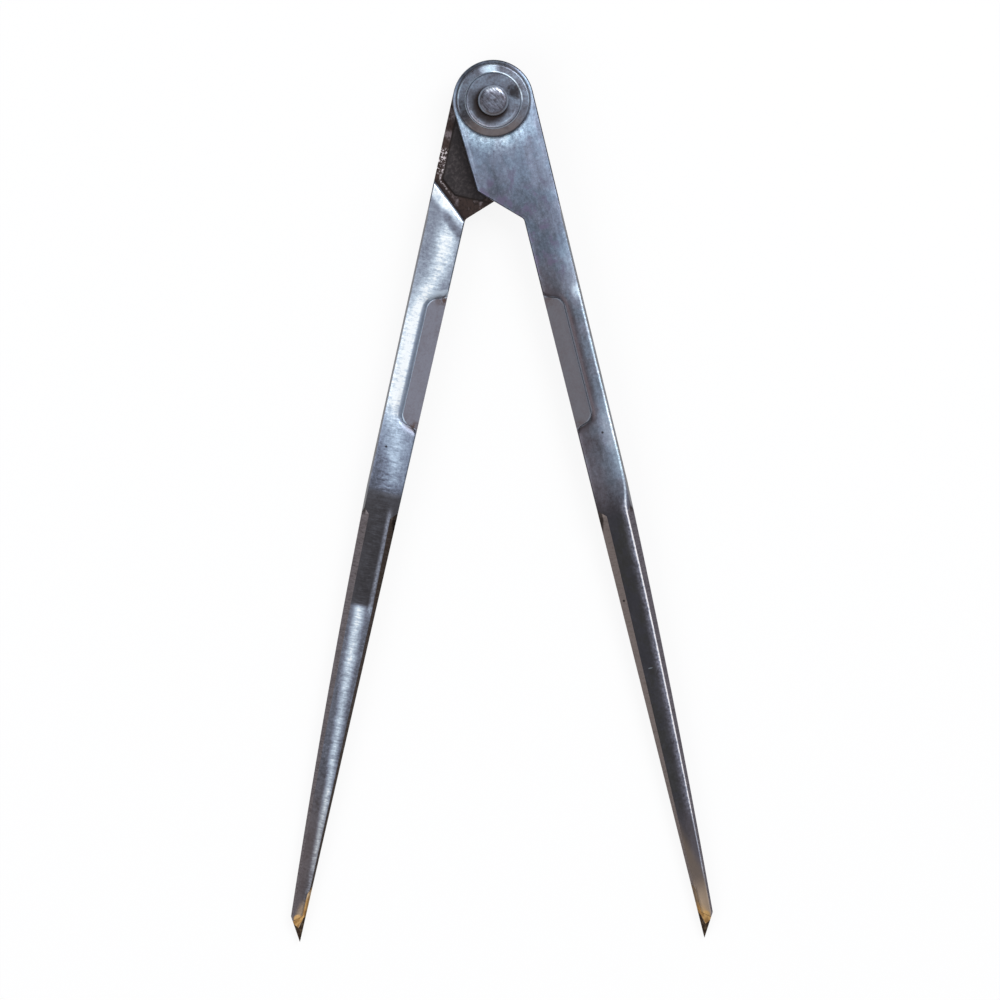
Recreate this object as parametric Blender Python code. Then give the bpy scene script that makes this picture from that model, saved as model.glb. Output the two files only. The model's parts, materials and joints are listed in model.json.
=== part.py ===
"""Firm joint scribing divider, 250 mm long, with brazed carbide points.

The two legs are one and the same forging. The left one is turned over, so that their half thick
ears lap at the head. A rivet holds the ears together between two dished washers, and friction
holds the opening. Each leg carries a ground carbide point, brazed into a pocket on its inner side.

A leg is modelled in its own frame: the pivot is at the origin, the leg runs along minus Y to its
point, plus X is outward, away from the other leg, and plus Z is the side that its ear is on.
Distances called "down" are measured from the pivot towards the point.
"""

import math

import bmesh
import bpy
from mathutils import Matrix, Vector

MM = 0.001

# Whole tool
OVERALL_LENGTH = 250.0 * MM
OPENING_DEG = 27.0

# Plan outline of a leg
LEG_HEAD_RADIUS = 11.2 * MM
INNER_EDGE = 0.2 * MM
TAPER_DOWN = 111.0 * MM
TAPER_WIDTH = 10.3 * MM
TAPER_BULGE = 0.66 * MM
POINT_BEVEL_LENGTH = 6.5 * MM
POINT_BEVEL_WIDTH = 4.2 * MM

# Ear, and the shoulder that it lies against when the legs are closed
EAR_WIDTH = 10.4 * MM
EAR_SIDE_DOWN = 23.3 * MM
EAR_CHAMFER_LENGTH = 10.5 * MM
CROTCH_RADIUS = 1.5 * MM
SHOULDER_SWEEP_CLEARANCE = 0.7 * MM
SHOULDER_DROP = 0.4 * MM
LAP_CLEARANCE = 0.2 * MM
PAD_HEIGHT = 0.4 * MM
PAD_INSET = 2.2 * MM
PAD_END_DOWN = 27.8 * MM
SHOULDER_ROUND_WIDTH = 1.3 * MM
SHOULDER_ROUND_DEPTH = 0.7 * MM

# Thickness of a leg
LEG_THICKNESS = 10.0 * MM
SLOPE_CHANGE_DOWN = 143.8 * MM
SLOPE_CHANGE_THICKNESS = 7.4 * MM
POINT_BEVEL_THICKNESS = 3.6 * MM
POINT_THICKNESS = 0.24 * MM

# Belly of the broad faces across their width, from the crotch down; its height is a share of the
# leg's width, because hand grinding tilts all edges alike
BELLY_RUN_IN = 20.0 * MM
BELLY_SHARE = 0.022
BELLY_LINE_SPACING = 1.5 * MM
BELLY_ROW_SPACING = 4.0 * MM

# Edges of a leg
RIM_ROUND = 0.6 * MM
RIM_STEPS = 3
DRAFT_DOWN = 27.0 * MM
DRAFT_RUN_IN = 9.0 * MM
DRAFT_WIDTH = 0.55 * MM
DRAFT_DEPTH = 2.0 * MM
FLAT_DOWN = 116.8 * MM
FLAT_RUN_IN = 2.2 * MM
EAR_SIDE_OUTER_FLAT_START = 1.75 * MM
EAR_SIDE_OUTER_FLAT_MIDDLE = 1.4 * MM
EAR_SIDE_INNER_FLAT_START = 2.2 * MM
EAR_SIDE_INNER_FLAT_MIDDLE = 1.9 * MM
LAP_SIDE_OUTER_FLAT_START = 2.1 * MM
LAP_SIDE_OUTER_FLAT_MIDDLE = 1.8 * MM
LAP_SIDE_INNER_FLAT_START = 1.8 * MM
LAP_SIDE_INNER_FLAT_MIDDLE = 1.0 * MM
OUTER_FLAT_END = 0.5 * MM
INNER_FLAT_END = 0.5 * MM
POINT_FLAT = 0.08 * MM
FLAT_DEPTH_RATIO = 0.8

# Finger recess, on both faces of a leg
RECESS_DOWN = 57.6 * MM
RECESS_LENGTH = 34.2 * MM
RECESS_REACH = 5.1 * MM
RECESS_DEPTH = 1.0 * MM
RECESS_WALL_WIDTH = 2.0 * MM
RECESS_END_SLANT = 1.6 * MM
RECESS_CORNER_RADIUS = 2.5 * MM
RECESS_MOUTH_RADIUS = 0.8 * MM
RECESS_MOUTH_OVERHANG = 0.12 * MM

# Brazed point
BRAZE_GAP = 0.06 * MM
BRAZE_LENGTH = 16.1 * MM
BRAZE_STRIP_TAPER = 2.6 * MM
BRAZE_STRIP_WIDTH = 1.2 * MM
BRAZE_STRIP_END = 7.2 * MM
BRAZE_BEVEL_END = 5.3 * MM
CARBIDE_TANG_LENGTH = 7.4 * MM
CARBIDE_TANG_TAPER = 0.6 * MM
CARBIDE_TANG_WIDTH = 0.75 * MM
CARBIDE_SEAT_UP = 3.8 * MM
CARBIDE_SEAT_WIDTH = 1.45 * MM
CARBIDE_BEVEL_END = 4.6 * MM

# Rivet and washers
SHANK_RADIUS = 3.2 * MM
BORE_CLEARANCE = 0.1 * MM
SEAT_CLEARANCE = 0.1 * MM
WASHER_INSET = 1.15 * MM
WASHER_THICKNESS = 2.3 * MM
WASHER_EDGE_RADIUS = 0.5 * MM
WASHER_FOOT_CHAMFER = 0.25 * MM
WASHER_RIM_FALL = 0.15 * MM
DISH_RIM_WIDTH = 2.2 * MM
DISH_WALL_RADIUS = 0.7 * MM
DISH_DEPTH = 0.95 * MM
DISH_FLOOR_MARGIN = 0.6 * MM
RIVET_HEAD_RADIUS = 4.2 * MM
RIVET_HEAD_HEIGHT = 1.8 * MM
RIVET_HEAD_EDGE_RADIUS = 1.2 * MM

# Fineness of the curves, and the angle from which an edge between two facets is a sharp one
HEAD_ARC_STEPS = 40
TAPER_STEPS = 12
FILLET_STEPS = 5
WALL_STEPS = 4
TURNED_STEPS = 80
SHARP_DEG = 18.0

# How far a cutting solid stands out past what it cuts
CUT_MARGIN = 3.0 * MM

# Worked out from the sizes above
LEG_REACH = OVERALL_LENGTH - LEG_HEAD_RADIUS
POINT_BEVEL_DOWN = LEG_REACH - POINT_BEVEL_LENGTH
CROTCH_DOWN = EAR_SIDE_DOWN + EAR_CHAMFER_LENGTH
HALF_THICKNESS = LEG_THICKNESS / 2
PAD_LEVEL = LAP_CLEARANCE / 2
BORE_RADIUS = SHANK_RADIUS + BORE_CLEARANCE
WASHER_RADIUS = LEG_HEAD_RADIUS - WASHER_INSET
DISH_RADIUS = WASHER_RADIUS - DISH_RIM_WIDTH
DISH_FLOOR_RADIUS = RIVET_HEAD_RADIUS + DISH_FLOOR_MARGIN
WASHER_LEVEL = HALF_THICKNESS + SEAT_CLEARANCE
RIVET_HEAD_LEVEL = WASHER_LEVEL + WASHER_THICKNESS - DISH_DEPTH + SEAT_CLEARANCE
RIVET_FACE_LEVEL = RIVET_HEAD_LEVEL + RIVET_HEAD_HEIGHT
RIVET_FACE_RADIUS = RIVET_HEAD_RADIUS - RIVET_HEAD_EDGE_RADIUS


# Plane geometry

def plan(outward, down):
    """A point of the leg's plan, from its distance outward and its distance down."""
    return Vector((outward, -down))


def between(start, end, share):
    """The value at a share of the way from start to end."""
    return start + (end - start) * share


def interpolate(stations, down):
    """The value at a distance down, from a list of (down, value) stations in order."""
    for (near, near_value), (far, far_value) in zip(stations, stations[1:]):
        if down <= far:
            return between(near_value, far_value, (down - near) / (far - near))
    return stations[-1][1]


def arc(centre, radius, start, end, steps):
    """Points of an arc, its two ends among them; the angles are in radians."""
    angles = [between(start, end, step / steps) for step in range(steps + 1)]
    return [centre + radius * Vector((math.cos(angle), math.sin(angle))) for angle in angles]


def touching_angle(corner, radius, side):
    """Angle at which a line from the corner touches a circle round the pivot, on side 1 or -1."""
    toward = math.atan2(corner.y, corner.x)
    return toward + side * math.acos(radius / corner.length)


def at_angle(angle, radius):
    """A point on a circle round the pivot."""
    return radius * Vector((math.cos(angle), math.sin(angle)))


def shifted(line, distance):
    """The same line moved sideways, to the left of its direction."""
    start, end = line
    along = (end - start).normalized()
    sideways = distance * Vector((-along.y, along.x))
    return start + sideways, end + sideways


def crossing(line, other):
    """The point where two lines of unlimited length cross."""
    start, end = line
    other_start, other_end = other
    along = end - start
    other_along = other_end - other_start
    share = (other_start - start).cross(other_along) / along.cross(other_along)
    return start + along * share


def fillet(before, corner, after, radius, steps=FILLET_STEPS):
    """Points of the arc that rounds a corner."""
    back = (before - corner).normalized()
    ahead = (after - corner).normalized()
    half_angle = back.angle(ahead) / 2
    bisector = (back + ahead).normalized()
    centre = corner + bisector * radius / math.sin(half_angle)
    length = radius / math.tan(half_angle)
    start = corner + back * length - centre
    end = corner + ahead * length - centre
    turn = start.angle_signed(end)
    first = math.atan2(start.y, start.x)
    return arc(centre, radius, first, first - turn, steps)


# Outlines of a leg

def outer_tangent():
    """The straight upper outer edge, from the head's round down to where the taper starts."""
    taper_start = plan(TAPER_WIDTH, TAPER_DOWN)
    angle = touching_angle(taper_start, LEG_HEAD_RADIUS, 1)
    return angle, (taper_start, at_angle(angle, LEG_HEAD_RADIUS))


def ear_tangent():
    """The ear's straight side, from the head's round down to the ear's corner."""
    corner = plan(-EAR_WIDTH, EAR_SIDE_DOWN)
    angle = touching_angle(corner, LEG_HEAD_RADIUS, -1)
    return angle % (2 * math.pi), (at_angle(angle, LEG_HEAD_RADIUS), corner)


def ear_chamfer():
    """The slanted end of the ear, from its corner to the crotch."""
    return plan(-EAR_WIDTH, EAR_SIDE_DOWN), plan(INNER_EDGE, CROTCH_DOWN)


def shoulder():
    """The step to full thickness: it clears the circle that the other ear's corner sweeps."""
    foot = plan(INNER_EDGE, CROTCH_DOWN + SHOULDER_DROP)
    swept = plan(EAR_WIDTH, EAR_SIDE_DOWN).length + SHOULDER_SWEEP_CLEARANCE
    return foot, at_angle(touching_angle(foot, swept, 1), swept)


def outer_edge(down):
    """Distance outward of the leg's outer edge."""
    _, (taper_start, head_end) = outer_tangent()
    if down <= TAPER_DOWN:
        share = (down + head_end.y) / (TAPER_DOWN + head_end.y)
        return between(head_end.x, taper_start.x, share)
    if down <= POINT_BEVEL_DOWN:
        share = (down - TAPER_DOWN) / (POINT_BEVEL_DOWN - TAPER_DOWN)
        bulge = 4 * TAPER_BULGE * share * (1 - share)
        return between(TAPER_WIDTH, POINT_BEVEL_WIDTH, share) + bulge
    share = min(1.0, (down - POINT_BEVEL_DOWN) / POINT_BEVEL_LENGTH)
    return between(POINT_BEVEL_WIDTH, INNER_EDGE, share)


def taper_downs():
    """Distances down at which the curved outer edge has its points."""
    return [between(TAPER_DOWN, POINT_BEVEL_DOWN, step / TAPER_STEPS) for step in range(TAPER_STEPS + 1)]


def leg_outline():
    """Outline of the whole forging, counter-clockwise, starting on the outer side of the head."""
    outer_angle, _ = outer_tangent()
    ear_angle, ear_side = ear_tangent()
    corner, crotch = ear_chamfer()
    point = plan(INNER_EDGE, LEG_REACH)
    points = arc(Vector((0, 0)), LEG_HEAD_RADIUS, outer_angle, ear_angle, HEAD_ARC_STEPS)
    points.append(corner)
    points += fillet(corner, crotch, point, CROTCH_RADIUS)
    points.append(point)
    points += [plan(outer_edge(down), down) for down in reversed(taper_downs())]
    return points


def pad_outline():
    """Outline of the ground bearing pad on the ear's inner face, set in from the ear's outline."""
    outer_angle, outer_line = outer_tangent()
    ear_angle, ear_line = ear_tangent()
    end_line = (plan(-EAR_WIDTH, PAD_END_DOWN), plan(EAR_WIDTH, PAD_END_DOWN))
    outer_line = shifted(outer_line, PAD_INSET)
    ear_line = shifted(ear_line, PAD_INSET)
    chamfer_line = shifted(ear_chamfer(), PAD_INSET)
    shoulder_line = shifted(shoulder(), PAD_INSET)
    radius = LEG_HEAD_RADIUS - PAD_INSET
    points = arc(Vector((0, 0)), radius, outer_angle, ear_angle, HEAD_ARC_STEPS)
    points.append(crossing(ear_line, chamfer_line))
    points.append(crossing(chamfer_line, end_line))
    points.append(crossing(end_line, shoulder_line))
    points.append(crossing(shoulder_line, outer_line))
    return points


def recess_outline(growth):
    """Outline of the finger recess, open over the leg's inner edge, grown by the given amount.

    Its two ends slant, and they flare where they meet the inner edge.
    """
    reach = RECESS_REACH + growth
    start = RECESS_DOWN - growth
    end = RECESS_DOWN + RECESS_LENGTH + growth
    mouth = INNER_EDGE - RECESS_MOUTH_OVERHANG
    slant = RECESS_END_SLANT * (reach - mouth) / RECESS_REACH
    corner_radius = min(RECESS_CORNER_RADIUS, RECESS_REACH / 2) + growth
    mouth_radius = RECESS_MOUTH_RADIUS + RECESS_WALL_WIDTH - growth
    run_out = RECESS_MOUTH_RADIUS + RECESS_WALL_WIDTH
    wall_start = plan(reach, start)
    wall_end = plan(reach, end)
    mouth_start = plan(mouth, start - slant)
    mouth_end = plan(mouth, end + slant)
    above = plan(mouth, start - slant - run_out)
    below = plan(mouth, end + slant + run_out)
    points = fillet(below, mouth_end, wall_end, mouth_radius)
    points += fillet(mouth_end, wall_end, wall_start, corner_radius)
    points += fillet(wall_end, wall_start, mouth_start, corner_radius)
    points += fillet(wall_start, mouth_start, above, mouth_radius)
    points.append(Vector((-CUT_MARGIN, points[-1].y)))
    points.append(Vector((-CUT_MARGIN, points[0].y)))
    return points


def half_thickness(down):
    """Half of the leg's thickness."""
    stations = [
        (0.0, HALF_THICKNESS),
        (TAPER_DOWN, HALF_THICKNESS),
        (SLOPE_CHANGE_DOWN, SLOPE_CHANGE_THICKNESS / 2),
        (POINT_BEVEL_DOWN, POINT_BEVEL_THICKNESS / 2),
        (LEG_REACH, POINT_THICKNESS / 2),
    ]
    return interpolate(stations, down)


# Building solids

def new_object(name, mesh):
    """Link a mesh to the scene as an object."""
    created = bpy.data.objects.new(name, mesh)
    bpy.context.scene.collection.objects.link(created)
    return created


def finish_mesh(name, build):
    """Turn a bmesh into an object, with its faces pointing out."""
    bmesh.ops.recalc_face_normals(build, faces=build.faces)
    mesh = bpy.data.meshes.new(name)
    build.to_mesh(mesh)
    build.free()
    return new_object(name, mesh)


def loft(name, sections):
    """Closed solid through a row of sections that have the same number of points."""
    build = bmesh.new()
    rings = [[build.verts.new(point) for point in section] for section in sections]
    sides = []
    for ring, following in zip(rings, rings[1:]):
        for index in range(len(ring)):
            after = (index + 1) % len(ring)
            corners = (ring[index], ring[after], following[after], following[index])
            sides.append(build.faces.new(corners))
    bmesh.ops.triangulate(build, faces=sides)
    build.faces.new(rings[0])
    build.faces.new(rings[-1])
    return finish_mesh(name, build)


def prism(name, outline, low, high):
    """Solid of a plan outline between two levels."""
    return loft(name, [[(p.x, p.y, level) for p in outline] for level in (low, high)])


def combine(target, tool, operation):
    """Apply a boolean of the tool to the target, and delete the tool."""
    modifier = target.modifiers.new(operation, "BOOLEAN")
    modifier.operation = operation
    modifier.solver = "EXACT"
    modifier.object = tool
    depsgraph = bpy.context.evaluated_depsgraph_get()
    result = bpy.data.meshes.new_from_object(target.evaluated_get(depsgraph))
    target.modifiers.clear()
    target.data = result
    bpy.data.objects.remove(tool)


def copy_of(name, source):
    """A second object with its own copy of the mesh."""
    return new_object(name, source.data.copy())


def turned(name, profile):
    """Solid of revolution about Z, from the (radius, level) points of one side of its section."""
    build = bmesh.new()
    closed = profile[0][0] > 0
    rings = []
    for radius, level in profile:
        count = TURNED_STEPS if radius > 0 else 1
        angles = [2 * math.pi * step / TURNED_STEPS for step in range(count)]
        ring = [build.verts.new((radius * math.cos(a), radius * math.sin(a), level)) for a in angles]
        rings.append(ring)
    pairs = list(zip(rings, rings[1:]))
    if closed:
        pairs.append((rings[-1], rings[0]))
    for ring, following in pairs:
        for step in range(TURNED_STEPS):
            after = (step + 1) % TURNED_STEPS
            corners = [ring[step % len(ring)], ring[after % len(ring)]]
            corners += [following[after % len(following)], following[step % len(following)]]
            build.faces.new(list(dict.fromkeys(corners)))
    return finish_mesh(name, build)


# Cuts in the forging

def round_rims(leg):
    """Round the edges of the two broad faces."""
    build = bmesh.new()
    build.from_mesh(leg.data)
    rims = [edge for edge in build.edges if edge.verts[0].co.z == edge.verts[1].co.z]
    bmesh.ops.bevel(
        build, geom=rims, offset=RIM_ROUND, segments=RIM_STEPS, profile=0.5, affect="EDGES"
    )
    build.to_mesh(leg.data)
    build.free()


def thin_lower_leg(leg):
    """Slope both broad faces, from where the taper starts down to the point."""
    downs = [TAPER_DOWN, SLOPE_CHANGE_DOWN, POINT_BEVEL_DOWN, LEG_REACH, LEG_REACH + CUT_MARGIN]
    slope = [(down, half_thickness(down)) for down in downs]
    clear = HALF_THICKNESS + CUT_MARGIN
    section = slope + [(downs[-1], clear), (downs[0], clear)]
    wide = LEG_HEAD_RADIUS + CUT_MARGIN
    for side in (1, -1):
        sections = [[(x, -down, side * level) for down, level in section] for x in (-wide, wide)]
        combine(leg, loft("slope_cut", sections), "DIFFERENCE")


def flat_section(edge, outward, down, width, ratio, side):
    """Triangle that takes the corner between a broad face and an edge of the leg."""
    face_level = half_thickness(down)
    on_face = Vector((edge - outward * width, face_level))
    on_side = Vector((edge, face_level - ratio * width))
    reach = CUT_MARGIN * Vector((-outward, ratio)).normalized()
    corner = Vector((edge + outward * CUT_MARGIN, face_level + CUT_MARGIN))
    return [(p.x, -down, side * p.y) for p in (on_face + reach, on_side - reach, corner)]


def cut_corner(leg, edge, outward, widths, ratio, side):
    """Take the corner off along an edge; the widths are a list of (down, width) stations."""
    first, last = widths[0][0], widths[-1][0]
    downs = {down for down, _ in widths}
    downs |= {down for down in taper_downs() if first < down < last}
    sections = []
    for down in sorted(downs):
        width = interpolate(widths, down)
        sections.append(flat_section(edge(down), outward, down, width, ratio, side))
    combine(leg, loft("corner_cut", sections), "DIFFERENCE")


def cut_draft(leg):
    """Steep narrow band along the upper outer edge, as a forging die leaves it."""
    widths = [
        (DRAFT_DOWN, -POINT_FLAT),
        (DRAFT_DOWN + DRAFT_RUN_IN, DRAFT_WIDTH),
        (FLAT_DOWN, DRAFT_WIDTH),
        (FLAT_DOWN + DRAFT_RUN_IN, -POINT_FLAT),
    ]
    for side in (1, -1):
        cut_corner(leg, outer_edge, 1, widths, DRAFT_DEPTH / DRAFT_WIDTH, side)


def flat_widths(start, middle, end):
    """Width of a flat from its run-in down to the very point."""
    return [
        (FLAT_DOWN, -POINT_FLAT),
        (FLAT_DOWN + FLAT_RUN_IN, start),
        (SLOPE_CHANGE_DOWN, middle),
        (POINT_BEVEL_DOWN, end),
        (LEG_REACH, POINT_FLAT),
        (LEG_REACH + CUT_MARGIN, POINT_FLAT),
    ]


def inner_edge(_down):
    """Distance outward of the leg's straight inner edge."""
    return INNER_EDGE


def cut_edge_flats(leg):
    """Ground flats along the four long edges of the lower leg."""
    ear_outer = flat_widths(EAR_SIDE_OUTER_FLAT_START, EAR_SIDE_OUTER_FLAT_MIDDLE, OUTER_FLAT_END)
    ear_inner = flat_widths(EAR_SIDE_INNER_FLAT_START, EAR_SIDE_INNER_FLAT_MIDDLE, INNER_FLAT_END)
    lap_outer = flat_widths(LAP_SIDE_OUTER_FLAT_START, LAP_SIDE_OUTER_FLAT_MIDDLE, OUTER_FLAT_END)
    lap_inner = flat_widths(LAP_SIDE_INNER_FLAT_START, LAP_SIDE_INNER_FLAT_MIDDLE, INNER_FLAT_END)
    for side, outer, inner in ((1, ear_outer, ear_inner), (-1, lap_outer, lap_inner)):
        cut_corner(leg, outer_edge, 1, outer, FLAT_DEPTH_RATIO, side)
        cut_corner(leg, inner_edge, -1, inner, FLAT_DEPTH_RATIO, side)


def cut_recesses(leg):
    """Shallow finger recesses, open to the inner edge, on both faces.

    The wall leaves the floor steeply and rolls over into the face.
    """
    floor = HALF_THICKNESS - RECESS_DEPTH
    profile = []
    for step in range(WALL_STEPS + 1):
        angle = step / WALL_STEPS * math.pi / 2
        profile.append((RECESS_WALL_WIDTH * (1 - math.cos(angle)), math.sin(angle)))
    for side in (1, -1):
        sections = []
        for growth, height in profile:
            level = side * (floor + RECESS_DEPTH * height)
            sections.append([(p.x, p.y, level) for p in recess_outline(growth)])
        above = side * (HALF_THICKNESS + CUT_MARGIN)
        sections.append([(p.x, p.y, above) for p in recess_outline(RECESS_WALL_WIDTH)])
        combine(leg, loft("recess_cut", sections), "DIFFERENCE")


def belly_drop(outward, down):
    """How far a broad face lies below its middle line at a place of the plan."""
    width = outer_edge(down) - INNER_EDGE
    if down < CROTCH_DOWN or width <= 0:
        return 0.0
    share = min(1.0, (down - CROTCH_DOWN) / BELLY_RUN_IN)
    across = 2 * (outward - INNER_EDGE) / width - 1
    return BELLY_SHARE * width * share * share * (3 - 2 * share) * min(1.0, across * across)


def belly_faces(leg):
    """Bulge the two broad faces a little across their width, as hand grinding leaves them."""
    build = bmesh.new()
    build.from_mesh(leg.data)
    lines = int((LEG_HEAD_RADIUS - INNER_EDGE) / BELLY_LINE_SPACING)
    cuts = [((INNER_EDGE + line * BELLY_LINE_SPACING, 0, 0), (1, 0, 0)) for line in range(1, lines + 1)]
    rows = int(BELLY_RUN_IN / BELLY_ROW_SPACING)
    downs = [CROTCH_DOWN + row * BELLY_ROW_SPACING for row in range(-1, rows + 1)]
    cuts += [((0, -down, 0), (0, 1, 0)) for down in downs + taper_downs()]
    for place, direction in cuts:
        geometry = build.verts[:] + build.edges[:] + build.faces[:]
        bmesh.ops.bisect_plane(build, geom=geometry, plane_co=place, plane_no=direction)
    for vertex in build.verts:
        x, y, z = vertex.co
        depth = z / half_thickness(-y)
        vertex.co.z -= math.copysign(belly_drop(x, -y) * depth * depth, z)
    bmesh.ops.triangulate(build, faces=build.faces)
    build.to_mesh(leg.data)
    build.free()


def lap_outline(shift):
    """Plan of what is cut away above the shoulder, with the shoulder moved by the given amount."""
    foot, touch = shifted(shoulder(), -shift)
    wide = 2 * LEG_HEAD_RADIUS + CUT_MARGIN
    outer_end = foot + (touch - foot).normalized() * wide
    corners = [Vector((outer_end.x, wide)), Vector((-wide, wide)), Vector((-wide, foot.y))]
    return [foot, outer_end] + corners


def cut_lap(leg):
    """Half the thickness away above the shoulder, then put the ground pad on the ear.

    The edge where the shoulder meets the broad face is rounded over.
    """
    ear_level = PAD_LEVEL + PAD_HEIGHT
    levels = [(SHOULDER_ROUND_WIDTH, -HALF_THICKNESS - CUT_MARGIN)]
    for step in range(WALL_STEPS + 1):
        angle = step / WALL_STEPS * math.pi / 2
        drop = SHOULDER_ROUND_DEPTH * (1 - math.cos(angle))
        levels.append((SHOULDER_ROUND_WIDTH * (1 - math.sin(angle)), drop - HALF_THICKNESS))
    levels.append((0.0, ear_level))
    sections = []
    for shift, level in levels:
        sections.append([(p.x, p.y, level) for p in lap_outline(shift)])
    combine(leg, loft("lap_cut", sections), "DIFFERENCE")
    combine(leg, prism("pad", pad_outline(), PAD_LEVEL, ear_level + PAD_HEIGHT), "UNION")


def bore_leg(leg):
    """The rivet's hole through the ear."""
    hole = arc(Vector((0, 0)), BORE_RADIUS, 0.0, 2 * math.pi, TURNED_STEPS)[:-1]
    combine(leg, prism("bore", hole, -CUT_MARGIN, HALF_THICKNESS + CUT_MARGIN), "DIFFERENCE")


# Brazed point

def bevel_point(length):
    """A point on the ground bevel, at a length along the leg from its very tip."""
    down = LEG_REACH - length
    return plan(outer_edge(down), down)


def past(start, end):
    """A point beyond end, on the line from start."""
    return end + (end - start).normalized() * CUT_MARGIN


def end_region(boundary, offset):
    """Area of the leg's end below a boundary that runs from the inner edge to the bevel."""
    wide = POINT_BEVEL_WIDTH + CUT_MARGIN
    below = LEG_REACH + CUT_MARGIN
    first = boundary[0]
    points = [Vector((-CUT_MARGIN, first.y))] + boundary + [past(boundary[-2], boundary[-1])]
    points += [plan(wide + CUT_MARGIN, below), plan(-CUT_MARGIN, below)]
    return [point + offset * Vector((-1, -1)) for point in points]


def braze_boundary():
    """Where the leg's steel ends."""
    strip_start = LEG_REACH - BRAZE_LENGTH
    return [
        plan(INNER_EDGE, strip_start),
        plan(BRAZE_STRIP_WIDTH, strip_start + BRAZE_STRIP_TAPER),
        plan(BRAZE_STRIP_WIDTH, LEG_REACH - BRAZE_STRIP_END),
        bevel_point(BRAZE_BEVEL_END),
    ]


def carbide_boundary():
    """Where the braze ends and the carbide starts."""
    tang_start = LEG_REACH - CARBIDE_TANG_LENGTH
    return [
        plan(INNER_EDGE, tang_start),
        plan(CARBIDE_TANG_WIDTH, tang_start + CARBIDE_TANG_TAPER),
        plan(CARBIDE_SEAT_WIDTH, LEG_REACH - CARBIDE_SEAT_UP),
        bevel_point(CARBIDE_BEVEL_END),
    ]


def split_point(leg):
    """Divide the end of the leg into steel, braze and carbide; the last two are returned."""
    low = -HALF_THICKNESS
    high = HALF_THICKNESS
    braze = copy_of("right_braze", leg)
    combine(leg, prism("pocket", end_region(braze_boundary(), 0.0), low, high), "DIFFERENCE")
    combine(braze, prism("end", end_region(braze_boundary(), BRAZE_GAP), low, high), "INTERSECT")
    carbide = copy_of("right_carbide_tip", braze)
    combine(braze, prism("seat", end_region(carbide_boundary(), 0.0), low, high), "DIFFERENCE")
    combine(carbide, prism("tip", end_region(carbide_boundary(), BRAZE_GAP), low, high), "INTERSECT")
    return braze, carbide


def make_leg():
    """The forged leg with its brazed point, in the leg's own frame."""
    leg = prism("right_leg", leg_outline(), -HALF_THICKNESS, HALF_THICKNESS)
    round_rims(leg)
    thin_lower_leg(leg)
    cut_draft(leg)
    cut_edge_flats(leg)
    cut_recesses(leg)
    belly_faces(leg)
    cut_lap(leg)
    bore_leg(leg)
    braze, carbide = split_point(leg)
    return leg, braze, carbide


# Turned pieces

def corner_arc(radius, level, size):
    """Profile points of an outer upper quarter round whose centre is at (radius, level)."""
    points = arc(Vector((radius, level)), size, 0.0, math.pi / 2, FILLET_STEPS)
    return [(point.x, point.y) for point in points]


def make_washer():
    """Washer with a dished top, lying on the ear's outer face."""
    base = WASHER_LEVEL
    top = base + WASHER_THICKNESS
    rim_edge = top - WASHER_RIM_FALL
    edge = WASHER_EDGE_RADIUS
    rounded = corner_arc(WASHER_RADIUS - edge, rim_edge - edge, edge)
    wall_centre = Vector((DISH_RADIUS - DISH_WALL_RADIUS, top))
    wall = arc(wall_centre, DISH_WALL_RADIUS, 0.0, -math.pi / 2, FILLET_STEPS)
    profile = [
        (BORE_RADIUS, base),
        (WASHER_RADIUS - WASHER_FOOT_CHAMFER, base),
        (WASHER_RADIUS, base + WASHER_FOOT_CHAMFER),
        *rounded,
        *[(point.x, point.y) for point in wall],
        (DISH_FLOOR_RADIUS, top - DISH_DEPTH),
        (BORE_RADIUS, top - DISH_DEPTH),
    ]
    return turned("front_washer", profile)


def make_rivet():
    """Rivet through both ears, with a low round-edged head at each end."""
    edge = RIVET_HEAD_EDGE_RADIUS
    rounded = corner_arc(RIVET_FACE_RADIUS, RIVET_FACE_LEVEL - edge, edge)
    upper = [(SHANK_RADIUS, RIVET_HEAD_LEVEL), (RIVET_HEAD_RADIUS, RIVET_HEAD_LEVEL), *rounded]
    upper.append((0.0, RIVET_FACE_LEVEL))
    lower = [(radius, -level) for radius, level in reversed(upper)]
    return turned("pivot_rivet", lower + upper)


# Materials

def material(name, colour, roughness, metallic=1.0):
    """A plain Principled material."""
    made = bpy.data.materials.new(name)
    made.use_nodes = True
    shader = made.node_tree.nodes["Principled BSDF"]
    shader.inputs["Base Color"].default_value = (*colour, 1.0)
    shader.inputs["Roughness"].default_value = roughness
    shader.inputs["Metallic"].default_value = metallic
    return made


# Assembly

def frame_for(name, rotation, parent):
    """An empty on the pivot axis that carries one leg."""
    empty = new_object(name, None)
    empty.rotation_euler = rotation.to_euler()
    empty.parent = parent
    return empty


def attach(item, parent, name, finish):
    """Name a piece, give it its material and hang it on its frame."""
    item.name = name
    item.data.name = name
    item.data.materials.clear()
    item.data.materials.append(finish)
    item.data.shade_smooth()
    item.data.set_sharp_from_angle(angle=math.radians(SHARP_DEG))
    item.parent = parent


def turned_over(item, parent, name):
    """The same piece again, on the other side of the tool."""
    other = new_object(name, item.data)
    other.parent = parent
    return other


def all_corners():
    """Every corner of every piece, in the scene's frame."""
    bpy.context.view_layer.update()
    pieces = [item for item in bpy.context.scene.objects if item.type == "MESH"]
    return [item.matrix_world @ vertex.co for item in pieces for vertex in item.data.vertices]


def lean_back(pivot):
    """Tilt the tool until it lies on its rear rivet head and on the lowest places of its legs."""
    leans = []
    for corner in all_corners():
        ahead = -corner.y - RIVET_FACE_RADIUS
        if ahead > RIVET_HEAD_EDGE_RADIUS:
            leans.append(math.atan2(corner.z + RIVET_FACE_LEVEL, ahead))
    pivot.rotation_euler.x = min(leans)


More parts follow.
